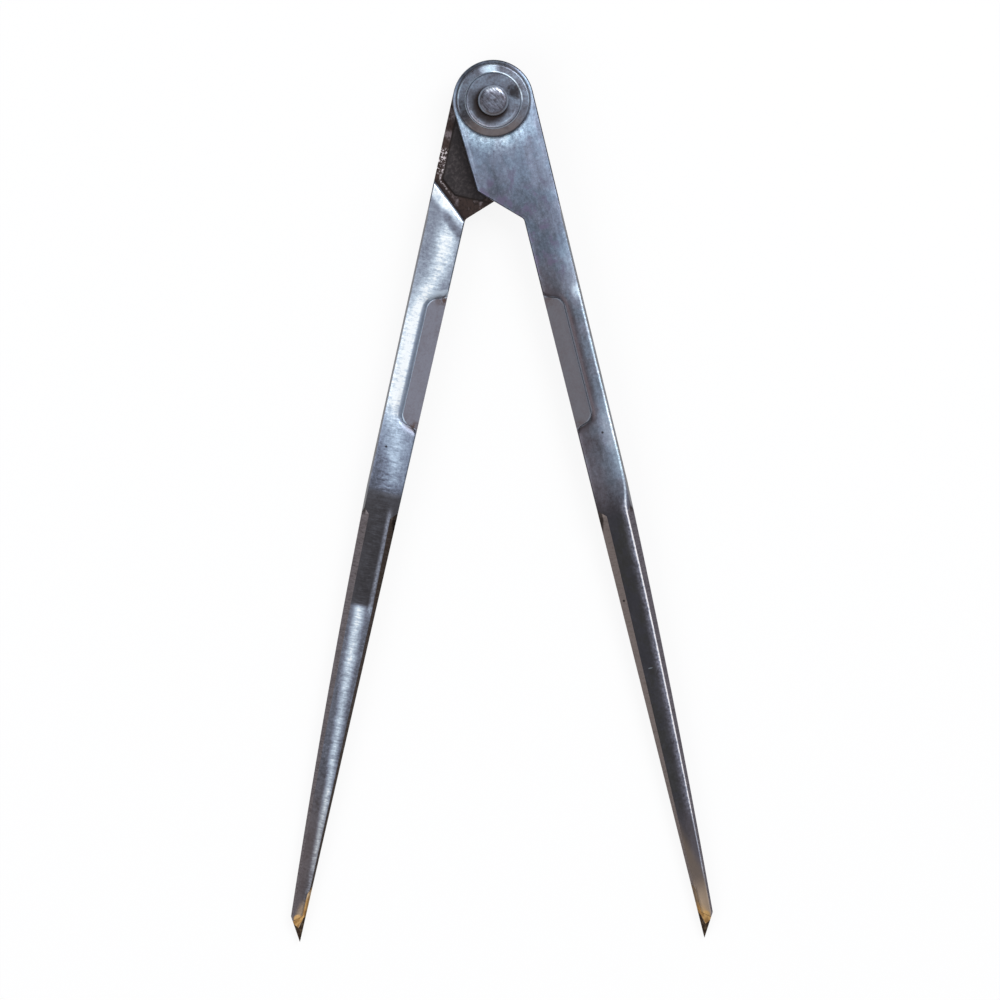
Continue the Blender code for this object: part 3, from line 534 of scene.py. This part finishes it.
def add_recess(graph, place, shade, cloud, grit):
    """Matt floor, walls that roll over into the face, painted highlights and shade on and beside the walls,
    and rust at the two mouths.
    """
    near = graph.step(place.from_recess, 3.6, 3.0) * graph.step(place.outer_gap, 0.2, 0.6)
    lap = graph.step(place.z, 0.1, -0.1)
    # Painted reflections round the walls: a bluish sheen beside the floor, a painted highlight round the
    # upper end, painted shade at the lower end
    wall = graph.band(place.from_recess, 0.2, 1.35, 0.5) * near
    beside = graph.step(place.outward, RECESS_REACH - 1.0, RECESS_REACH + 0.4)
    shade = graph.mix(wall * lap * beside * 0.75, shade, WALL_SHEEN_BLUE)
    below = graph.step(place.down, 80.0, 90.0)
    glow = graph.band(place.from_recess, 0.6, 2.4, 0.8) * near * (1.0 - beside)
    shade = graph.mix(glow * lap * (1.0 - below) * 0.6, shade, STEEL_TONES[5][1])
    shade = graph.mix(wall * lap * (1.0 - beside) * below * 0.8, shade, STEEL_TONES[2][1])
    past_end = graph.band(place.from_recess, 0.9, 2.3, 0.8) * near * below * (1.0 - beside * 0.5)
    shade = graph.mix(past_end * lap * 0.6, shade, STEEL_TONES[3][1])
    # Painted shade beside the floor on the ear's side, and a painted lighter foot of its wall
    dim = graph.bump_at(place.from_recess + cloud, 0.9, 2.1) * near * (1.0 - lap)
    shade = graph.mix(dim * (beside * 0.45 + 0.40), shade, RECESS_SHADE)
    steep = graph.bump_at(place.from_recess, 0.10, 0.55) * near * (1.0 - lap)
    shade = graph.mix(steep * 0.5, shade, STEEL_TONES[4][1])

    soft = (1.0 - lap) * 0.7
    floor = graph.step(place.from_recess, soft + 0.05, soft * -1.0 - 0.15)
    matt = graph.mix(lap, EAR_RECESS_FLOOR, LAP_RECESS_FLOOR)
    matt = graph.mix(graph.clamp(grit * 1.2 + cloud * 0.8 + 0.1), matt, WARM_SHADE)
    shade = graph.mix(floor, shade, matt)
    # Painted highlight line at the top of the wall on the cut side
    highlight_line = graph.bump_at(place.from_recess, 0.10, 0.30) * graph.step(cloud, -0.25, 0.05)
    shade = graph.mix(highlight_line * lap * 0.72, shade, STEEL_TONES[5][1])

    mouths = graph.bump_at(place.down, RECESS_DOWN + 0.9, 3.0)
    mouths = mouths + graph.bump_at(place.down, RECESS_END_DOWN - 0.8, 2.2)
    rust = mouths * graph.step(place.outward, 4.6, 1.0) * graph.step(place.from_recess, 1.6, 0.6)
    patchy = graph.step(graph.noise(place.vector, (0.9, 0.9, 0.9), 4.0, 0.7), 0.38, 0.56)
    return graph.mix(rust * patchy * (lap * 0.45 + 0.40), shade, RUST)


def add_sides(graph, place, shade, cloud, grit):
    """Painted shade on the rims along the forged edges and at the ear's edge, and brushed narrow sides."""
    side_brush = graph.noise(place.vector, (1.0, 0.12, 3.4), 3.0, 0.7)
    side_tone = (side_brush - 0.5) * 0.7 + cloud * 0.40 + grit * 0.10 + 0.36
    side_shade = graph.tint(1.0, graph.tones(side_tone, STEEL_TONES), WARM_TINT)
    rim = graph.band(place.flatness, 0.15, 0.86, 0.10) * graph.step(place.outward, 0.6, 1.2)
    rim = rim * graph.step(place.outer_gap, 1.2, 0.8)
    rim = rim * graph.step(place.down, FLATS_DOWN + 1.0, FLATS_DOWN - 1.0)
    ear_edge = graph.step(place.flatness, 0.97, 0.86) * graph.step(place.x, -8.0, -9.5)
    rim = rim + ear_edge * graph.step(place.down, 0.0, 5.0)
    shade = graph.mix(graph.clamp(rim) * 0.6, shade, EDGE_SHADE)
    inner_edge = graph.step(place.outward, 0.3, 0.05)
    off_wall = graph.math("MAXIMUM", graph.step(place.from_recess, 2.2, 2.8), inner_edge)
    return graph.mix(graph.step(place.flatness, 0.36, 0.16) * off_wall, shade, side_shade)


def add_flats(graph, place, shade):
    """Ground flats along the four edges of the lower leg, marked across their length."""
    marks = graph.noise(place.vector, (0.6, 2.0, 0.6), 2.0, 0.8) - 0.5
    outer_side = graph.step(place.across, 0.45, 0.55)
    lap = graph.mix(outer_side, LAP_INNER_FLAT, LAP_OUTER_FLAT)
    ear = graph.mix(outer_side, EAR_INNER_FLAT, EAR_OUTER_FLAT)
    ground = graph.mix(graph.step(place.z, -0.1, 0.1), lap, ear)
    dark_end = graph.step(place.down, 170.0, 225.0)
    ground = graph.mix(dark_end * (1.0 - outer_side) * 0.25, ground, FLAT_DARK)
    marked = outer_side * 0.5 + 0.5
    ground = graph.mix(graph.clamp(marks * 2.6) * marked, ground, FLAT_DARK)
    ground = graph.mix(graph.clamp(marks * -2.0) * marked, ground, FLAT_LIGHT)
    # Painted highlight where the outer flats start
    start = graph.step(place.down, 121.0, 117.0) * outer_side
    ground = graph.mix(start * 0.45, ground, FLAT_LIGHT)
    flat = graph.band(place.flatness, 0.42, 0.90, 0.06)
    flat = flat * graph.step(place.down, FLATS_DOWN - 0.4, FLATS_DOWN + 0.6)
    shade = graph.mix(flat * 0.92, shade, ground)
    notch = graph.step(place.down + place.outward * 3.0, 124.5, 122.0) * graph.step(place.outward, 1.3, 0.9)
    notch = notch + graph.step(place.down, 119.8, 118.4) * graph.step(place.outer_gap, 1.3, 0.8)
    return graph.mix(graph.clamp(notch) * flat * 0.85, shade, DIRT_AND_SHADE)


def seam(graph, place):
    """1 at the long border between leg and braze."""
    along = graph.band(place.down, BRAZE_STRIP_DOWN, BRAZE_STRIP_END_DOWN, 0.8)
    return graph.bump_at(place.outward, BRAZE_WIDTH, 0.34) * along


def distance_from(graph, place, spot, half_length, half_width):
    """Distance from a spot, where 1 is the border of an ellipse along the leg."""
    down, outward = spot
    return graph.length((place.down - down) / half_length, (place.outward - outward) / half_width)


def add_braze_glow(graph, place, shade, side):
    """Straw and gold colours that the brazing heat left on the steel beside the braze."""
    spread = distance_from(graph, place, CREAM_SPOT, 5.0, 2.1)
    shade = graph.mix(graph.step(spread, 1.1, 0.3) * 0.75, shade, HEAT_CREAM)
    spill = distance_from(graph, place, GOLD_SPOT, 1.0, 1.0)
    shade = graph.mix(graph.step(spill, 1.5, 0.9) * 0.9, shade, GOLD)
    if side > 0:
        wash = distance_from(graph, place, GOLD_WASH, 4.6, 2.4)
        shade = graph.mix(graph.step(wash, 1.1, 0.2) * 0.8, shade, GOLD)
    return graph.mix(seam(graph, place) * 0.35, shade, DIRT_AND_SHADE)


def add_marks(graph, place, shade, side):
    """Single dark pits and bright nicks."""
    upper = graph.step(place.z * float(side), 0.5, 0.9)
    for spot in PITS[side]:
        distance = distance_from(graph, place, spot, 1.0, 1.0)
        shade = graph.mix(graph.step(distance, 0.42, 0.22) * upper * 0.85, shade, DIRT_AND_SHADE)
    for down, outward, along, across in NICKS[side]:
        distance = distance_from(graph, place, (down, outward), along, across)
        shade = graph.mix(graph.step(distance, 1.0, 0.3) * upper * 0.22, shade, STEEL_TONES[5][1])
    return shade


def add_lap_area(graph, place, shade, grit):
    """The ear's inner face: dark ground pad with a dark line round it and painted glints along it, rusty
    forged band round it.
    """
    inner_face = graph.step(place.facing, -0.5, -0.8) * graph.step(place.z, -EAR_INNER_LEVEL, -0.6)
    mottle = graph.noise(place.vector, (0.42, 0.30, 0.42), 3.0, 0.6)
    band = graph.mix(graph.step(mottle, 0.52, 0.68), BAND_BROWN, BAND_GREY)
    bared = graph.bump_at(place.down, 6.8, 2.6) + graph.bump_at(place.down, 12.2, 2.2)
    band = graph.mix(bared * graph.step(mottle, 0.34, 0.50) * 0.9, band, BAND_GREY)
    streaks = graph.noise(place.vector, (1.5, 1.5, 1.5), 3.0, 0.8)
    band = graph.mix(graph.step(streaks, 0.52, 0.36) * 0.8, band, DIRT_AND_SHADE)
    outside = graph.band(place.down, 16.2, 22.8, 1.5) * graph.step(place.outer_gap, 3.0, 1.4)
    specks = graph.step(streaks, 0.53, 0.57) * outside
    band = graph.mix(specks * 0.9, band, BAND_SPECK_AND_GLINT)
    grain = graph.noise(place.vector, (0.9, 0.7, 0.9), 4.0, 0.7)
    pad = graph.mix(graph.clamp(graph.step(grain, 0.42, 0.72) * 0.7 + grit), PAD_DARK, PAD_LIGHT)

    corner = graph.math("MAXIMUM", PAD_INSET - place.outer_gap, place.below_shoulder + PAD_INSET)
    border = graph.math("MAXIMUM", corner, place.down - PAD_END_DOWN)
    ground_pad = graph.step(place.z, PAD_MIDDLE_LEVEL + 0.1, PAD_MIDDLE_LEVEL - 0.1)
    area = graph.mix(ground_pad, band, pad)
    area = graph.mix(graph.bump_at(border, 0.0, 0.45) * 0.9, area, DIRT_AND_SHADE)
    # Painted glints along the pad's border
    border_glints = graph.bump_at(border, 0.75, 0.40) * graph.step(place.below_shoulder, -3.4, -2.6)
    border_glints = border_glints * graph.step(streaks, 0.46, 0.54) * graph.step(place.down, 29.0, 27.0)
    border_glints = border_glints * (graph.step(place.outer_gap, 4.4, 3.4) * 0.7 + 0.25)
    area = graph.mix(border_glints * 0.8, area, BAND_SPECK_AND_GLINT)
    return graph.mix(inner_face, shade, area), inner_face


def leg_steel(name, side):
    """Worn ground steel of one leg: side is 1 for the right leg and -1 for the left one."""
    graph = Graph(name)
    place = LegPlace(graph, side)
    wander = graph.noise(place.vector, (0.13, 0.06, 0.13), 3.0) - 0.5
    cloud = graph.noise(place.vector, (0.32, 0.16, 0.32), 4.0, 0.65) - 0.5
    grit = graph.noise(place.vector, (1.3, 1.3, 1.3), 3.0, 0.75) - 0.5

    lap = lap_side_shade(graph, place, wander, cloud, grit)
    ear = ear_side_shade(graph, place, wander, cloud, grit)
    shade = graph.mix(graph.step(place.z, -0.1, 0.1), lap, ear)
    shade = add_recess(graph, place, shade, cloud, grit)
    shade = add_sides(graph, place, shade, cloud, grit)
    shade = add_flats(graph, place, shade)
    shade = add_marks(graph, place, shade, side)
    shade = add_braze_glow(graph, place, shade, side)
    shade, inner_face = add_lap_area(graph, place, shade, grit)

    # Painted shade in corners and beside the other leg's ear, towards the head end
    corner_shade = graph.step(graph.openness(CORNER_SHADE_REACH), 0.90, 0.50)
    corner_shade = corner_shade * graph.step(place.down, 40.0, 36.0)
    shade = graph.mix(corner_shade * 0.8, shade, DIRT_AND_SHADE)

    floor = graph.step(place.from_recess, 0.3, -0.1) * place.broad
    dull = graph.math("MAXIMUM", inner_face, floor)
    fine = graph.noise(place.vector, (2.5, 2.5, 2.5), 3.0, 0.6)
    graph.bump(fine, FINE_BUMP)
    return graph.finish(shade, dull * 0.24 + 0.38 + cloud * 0.10, 1.0 - dull * 0.35)


# Head and points

def polar(graph, place):
    """Distance from the pivot's axis, and the cosine and sine of the direction."""
    radius = graph.length(place.x, place.y)
    return radius, place.x / radius, place.y / radius


def toward(cosine, sine, degrees):
    """Cosine of the angle between a place's direction and a given one, which is 0 to the right."""
    angle = math.radians(degrees)
    return cosine * math.cos(angle) + sine * math.sin(angle)


def washer_tone(graph, radius, cosine, sine, cloud):
    """What the painted highlights and shade on the washer's ring, lip and dish add to its brightness."""
    ring = graph.step(radius, DISH_RADIUS - 0.1, DISH_RADIUS + 0.3)
    tone = ring * -0.05
    fan = graph.step(toward(cosine, sine, 98.0) + cloud * 0.03, 0.93, 0.998)
    tone = tone + fan * ring * 0.34
    tone = tone - graph.step(toward(cosine, sine, 212.0), 0.70, 0.95) * ring * 0.15
    tone = tone - graph.step(toward(cosine, sine, 200.0), 0.30, 0.95) * (1.0 - ring) * 0.10
    lip = graph.bump_at(radius, DISH_RADIUS + 0.05, 0.34)
    tone = tone + lip * graph.step(toward(cosine, sine, 46.0), 0.62, 0.74) * 0.46
    arc = graph.bump_at(radius, ARC_RADIUS, 0.40)
    tone = tone + arc * graph.step(toward(cosine, sine, 225.0), 0.88, 0.98) * 0.16
    tone = tone + arc * graph.step(toward(cosine, sine, -45.0), 0.86, 0.98) * 0.16
    foot = graph.bump_at(radius, DISH_FOOT_RADIUS, 0.4)
    tone = tone + foot * graph.step(toward(cosine, sine, 46.0), 0.7, 0.3) * 0.08
    edge = graph.bump_at(radius, WASHER_RADIUS - 0.25, 0.3)
    tone = tone + edge * graph.step(toward(cosine, sine, 20.0), 0.45, 0.95) * 0.24
    return tone + edge * graph.step(toward(cosine, sine, 170.0), 0.80, 0.97) * 0.30


def washer_steel(name):
    """Turned washer: brown towards its lower rim, a painted highlight at the dish's lip, dirt inside, and
    painted shadow round the rivet and on its outer side.
    """
    graph = Graph(name)
    place = Place(graph, pivot_frame())
    radius, cosine, sine = polar(graph, place)
    cloud = graph.noise(place.vector, (0.38, 0.38, 0.38), 4.0, 0.65) - 0.5
    grit = graph.noise(place.vector, (1.5, 1.5, 1.5), 3.0, 0.75) - 0.5
    turning = graph.noise(graph.vector(radius, 0.0, 0.0), (5.0, 1.0, 1.0), 2.0, 0.7) - 0.5
    tone = cloud * 0.44 + turning * 0.10 + grit * 0.24 + 0.47
    tone = tone + washer_tone(graph, radius, cosine, sine, cloud)
    shade = graph.tones(tone, STEEL_TONES)
    shade = graph.tint(graph.step(cloud, -0.12, 0.16), shade, SEA_TINT)

    low = graph.step(toward(cosine, sine, 275.0), 0.35, 0.90) * graph.step(radius, 6.4, 8.4)
    shade = graph.mix(low * (cloud + 0.70), shade, RIM_BROWN)
    spot = graph.length(place.x - 5.9, (place.y - 2.3) * 0.8)
    shade = graph.mix(graph.step(spot + cloud * 2.4, 2.4, 0.8) * 0.85, shade, DIRT_AND_SHADE)
    # Painted shadow of the rivet head in the dish, mostly towards the lower left
    rivet_shadow = graph.step(radius - toward(cosine, sine, 232.0) * 1.8, 5.9, 3.7)
    shade = graph.mix(rivet_shadow * 0.92, shade, DIRT_AND_SHADE)
    beside = graph.step(radius, 5.2, 4.4) * graph.step(toward(cosine, sine, 250.0), -0.1, 0.6)
    shade = graph.mix(beside * 0.9, shade, DIRT_AND_SHADE)
    # The steep lip wall is painted lighter and less metallic as a painted highlight; the steep outer side
    # gets painted shade
    steep = graph.step(graph.math("ABSOLUTE", place.facing), 0.85, 0.4)
    lip_wall = steep * graph.step(radius, 8.4, 8.1)
    shade = graph.mix(lip_wall * 0.8, shade, STEEL_TONES[5][1])
    shade = graph.mix(steep * graph.step(radius, 9.2, 9.6) * 0.5, shade, DIRT_AND_SHADE)
    graph.bump(turning, FAINT_BUMP)
    return graph.finish(shade, 0.40 + cloud * 0.10, 1.0 - lip_wall * 0.8)


def rivet_steel(name):
    """Rivet head with a painted highlight at the top of its round edge, painted shade towards the lower left
    and a lighter painted edge, with scratches across its face.
    """
    graph = Graph(name)
    place = Place(graph, pivot_frame())
    radius, cosine, sine = polar(graph, place)
    cloud = graph.noise(place.vector, (0.7, 0.7, 0.7), 4.0, 0.65) - 0.5
    grit = graph.noise(place.vector, (1.9, 1.9, 1.9), 3.0, 0.75) - 0.5
    lean = graph.vector(place.x + place.y, place.x - place.y, 0.0)
    scratch = graph.noise(lean, (1.3, 0.22, 1.0), 3.0, 0.75) - 0.5
    tone = cloud * 0.44 + scratch * 0.75 + grit * 0.24 + 0.40
    rim = graph.bump_at(radius, RIVET_HEAD_RADIUS - 1.0, 1.5)
    # Painted highlight at the top of the round edge, and painted shade towards the lower left
    lit = graph.step(toward(cosine, sine, 88.0) + grit * 0.4, 0.52, 0.94)
    tone = tone + rim * lit * (grit * 0.7 + scratch * 0.8 + 0.36)
    tone = tone - graph.step(toward(cosine, sine, 200.0), 0.2, 0.9) * graph.step(radius, 1.5, 3.5) * 0.08
    shade = graph.tones(tone, STEEL_TONES)
    shade = graph.tint(graph.step(cloud, 0.14, -0.14) * 0.8, shade, BLUSH_TINT)
    # The round edge is painted lighter and less metallic
    edge = graph.step(radius, RIVET_HEAD_RADIUS - 0.7, RIVET_HEAD_RADIUS - 0.2)
    shade = graph.mix(edge * 0.65, shade, STEEL_TONES[4][1])
    low = graph.step(toward(cosine, sine, 275.0), 0.5, 1.0) * graph.step(radius, 3.0, 3.8)
    shade = graph.mix(low * 0.6, shade, RIM_BROWN)
    graph.bump(scratch, FINE_BUMP)
    return graph.finish(shade, 0.38 + cloud * 0.08, 1.0 - edge * 0.8)


def braze_metal(name, side):
    """Gold braze, with a painted pale highlight along its upper border, and browner at the carbide."""
    graph = Graph(name)
    place = LegPlace(graph, side)
    cloud = graph.noise(place.vector, (0.8, 0.5, 0.8), 3.0)
    shade = graph.mix(graph.step(cloud, 0.40, 0.62), GOLD_DEEP, GOLD)
    strip = graph.step(place.down, 231.0, 227.5)
    if side > 0:
        shade = graph.mix(strip * 0.85, shade, HEAT_TAN)
    else:
        shade = graph.mix(strip * 0.55, shade, GOLD_DEEP)
        pale = graph.bump_at(place.down - place.outward * 1.5, 224.6, 1.6)
        shade = graph.mix(pale * 0.6, shade, GOLD_HIGHLIGHT)
    shade = graph.mix(seam(graph, place) * 0.35, shade, CARBIDE_DARK)
    side_face = graph.step(place.flatness, 0.6, 0.2)
    shade = graph.mix(side_face * 0.5, shade, CARBIDE_LIGHT)
    fine = graph.noise(place.vector, (3.0, 3.0, 3.0), 3.0)
    graph.bump(fine, FINE_BUMP)
    return graph.finish(shade, 0.44)


def carbide(name, side):
    """Ground carbide, dull and dark."""
    graph = Graph(name)
    place = LegPlace(graph, side)
    cloud = graph.noise(place.vector, (1.2, 1.2, 1.2), 3.0)
    shade = graph.mix(graph.step(cloud, 0.40, 0.75), CARBIDE_DARK, CARBIDE_LIGHT)
    fine = graph.noise(place.vector, (2.0, 6.0, 2.0), 3.0)
    graph.bump(fine, FAINT_BUMP)
    return graph.finish(shade, 0.46)


def dress(node, material):
    """Give a CAD node its material."""
    slots = frame["nodes"][node].material_slots
    for slot in slots:
        slot.material = material


# Shading of the faceted solids

WELD_DISTANCE = 0.000001
SMOOTH_DEG = 24.0


def shading_group():
    """Geometry nodes that join the facets and shade them smooth, up to an angle."""
    group = bpy.data.node_groups.new("smooth_shading", "GeometryNodeTree")
    group.interface.new_socket("Geometry", in_out="INPUT", socket_type="NodeSocketGeometry")
    group.interface.new_socket("Geometry", in_out="OUTPUT", socket_type="NodeSocketGeometry")
    nodes, links = group.nodes, group.links
    start = nodes.new("NodeGroupInput")
    merge = nodes.new("GeometryNodeMergeByDistance")
    merge.inputs["Distance"].default_value = WELD_DISTANCE
    forget = nodes.new("GeometryNodeRemoveAttribute")
    forget.inputs["Name"].default_value = "custom_normal"
    faces = nodes.new("GeometryNodeSetShadeSmooth")
    faces.domain = "FACE"
    edges = nodes.new("GeometryNodeSetShadeSmooth")
    edges.domain = "EDGE"
    angle = nodes.new("GeometryNodeInputMeshEdgeAngle")
    flat = nodes.new("FunctionNodeCompare")
    flat.operation = "LESS_EQUAL"
    flat.inputs[1].default_value = math.radians(SMOOTH_DEG)
    end = nodes.new("NodeGroupOutput")
    links.new(start.outputs[0], merge.inputs["Geometry"])
    links.new(merge.outputs[0], forget.inputs["Geometry"])
    links.new(forget.outputs[0], faces.inputs["Geometry"])
    links.new(faces.outputs[0], edges.inputs["Geometry"])
    links.new(angle.outputs["Unsigned Angle"], flat.inputs[0])
    links.new(flat.outputs[0], edges.inputs["Shade Smooth"])
    links.new(edges.outputs[0], end.inputs[0])
    return group


def smooth(node, group):
    """Shade a CAD node smooth where its facets stand for a round."""
    item = frame["nodes"][node]
    modifier = item.modifiers.new("smooth_shading", "NODES")
    modifier.node_group = group


# Scene

def make_floor():
    """A plain pale floor, which keeps its full shade only where it lies close under the tool."""
    half = FLOOR_HALF_WIDTH
    mesh = bpy.data.meshes.new("floor")
    corners = [(-half, -half, 0.0), (half, -half, 0.0), (half, half, 0.0), (-half, half, 0.0)]
    mesh.from_pydata(corners, [], [(0, 1, 2, 3)])
    floor = bpy.data.objects.new("floor", mesh)
    bpy.context.scene.collection.objects.link(floor)
    graph = Graph("floor")
    mesh.materials.append(graph.finish(FLOOR_GREY, 0.9, 0.0))
    graph.shader.inputs["Specular IOR Level"].default_value = 0.0
    # No white there, because it would show through the narrow gap beside the braze
    covered = graph.step(graph.openness(FLOOR_SHADE_REACH), 0.30, 0.13)
    graph.show_white((1.0 - covered) * FLOOR_WHITE_SHARE)


def make_camera():
    """Camera that looks straight down from high up, so that lines stay nearly parallel."""
    pivot = Vector(frame["joints"][0]["pos_m"])
    width = PHOTO_SIZE / PHOTO_PIXELS_PER_MM * MM
    data = bpy.data.cameras.new("camera")
    data.sensor_width = SENSOR_WIDTH
    data.lens = SENSOR_WIDTH * CAMERA_HEIGHT / width
    camera = bpy.data.objects.new("camera", data)
    bpy.context.scene.collection.objects.link(camera)
    roll = math.radians(CAMERA_ROLL_DEG)
    middle = PHOTO_SIZE / 2
    right = (middle - PHOTO_PIVOT[0]) / PHOTO_PIXELS_PER_MM * MM
    down = (middle - PHOTO_PIVOT[1]) / PHOTO_PIXELS_PER_MM * MM
    offset = Matrix.Rotation(roll, 3, "Z") @ Vector((right, -down, 0.0))
    camera.location = (pivot.x + offset.x, pivot.y + offset.y, CAMERA_HEIGHT + pivot.z)
    camera.rotation_euler = (0.0, 0.0, roll)
    bpy.context.scene.camera = camera


def make_lamp(name, place, size, power):
    """A square soft lamp that faces the frame's origin."""
    data = bpy.data.lights.new(name, "AREA")
    data.shape = "SQUARE"
    data.size = size
    data.energy = power
    lamp = bpy.data.objects.new(name, data)
    bpy.context.scene.collection.objects.link(lamp)
    lamp.location = place
    lamp.rotation_euler = Vector(place).to_track_quat("Z", "Y").to_euler()


def make_world():
    """Even soft light, a little dimmer near the horizon."""
    world = bpy.data.worlds.new("studio")
    world.use_nodes = True
    bpy.context.scene.world = world
    tree = world.node_tree
    background = tree.nodes["Background"]
    coordinates = tree.nodes.new("ShaderNodeTexCoord")
    parts = tree.nodes.new("ShaderNodeSeparateXYZ")
    tree.links.new(coordinates.outputs["Generated"], parts.inputs[0])
    ramp = tree.nodes.new("ShaderNodeValToRGB")
    for element, (position, shade) in zip(ramp.color_ramp.elements, WORLD_STOPS):
        element.position = position
        element.color = shade
    tree.links.new(parts.outputs[2], ramp.inputs[0])
    tree.links.new(ramp.outputs[0], background.inputs["Color"])
    background.inputs["Strength"].default_value = WORLD_STRENGTH


def main():
    group = shading_group()
    for node in frame["nodes"]:
        smooth(node, group)
    for side, word in ((-1, "left"), (1, "right")):
        dress(word + "_leg", leg_steel(word + "_leg_steel", side))
        dress(word + "_braze", braze_metal(word + "_braze_metal", side))
        dress(word + "_carbide_tip", carbide(word + "_carbide", side))
    washer = washer_steel("washer_steel")
    dress("front_washer", washer)
    dress("rear_washer", washer)
    dress("pivot_rivet", rivet_steel("rivet_steel"))

    make_floor()
    make_camera()
    make_world()
    for name, place, size, power in LAMPS:
        make_lamp(name, place, size, power)
    bpy.context.scene.view_settings.view_transform = "Standard"


main()
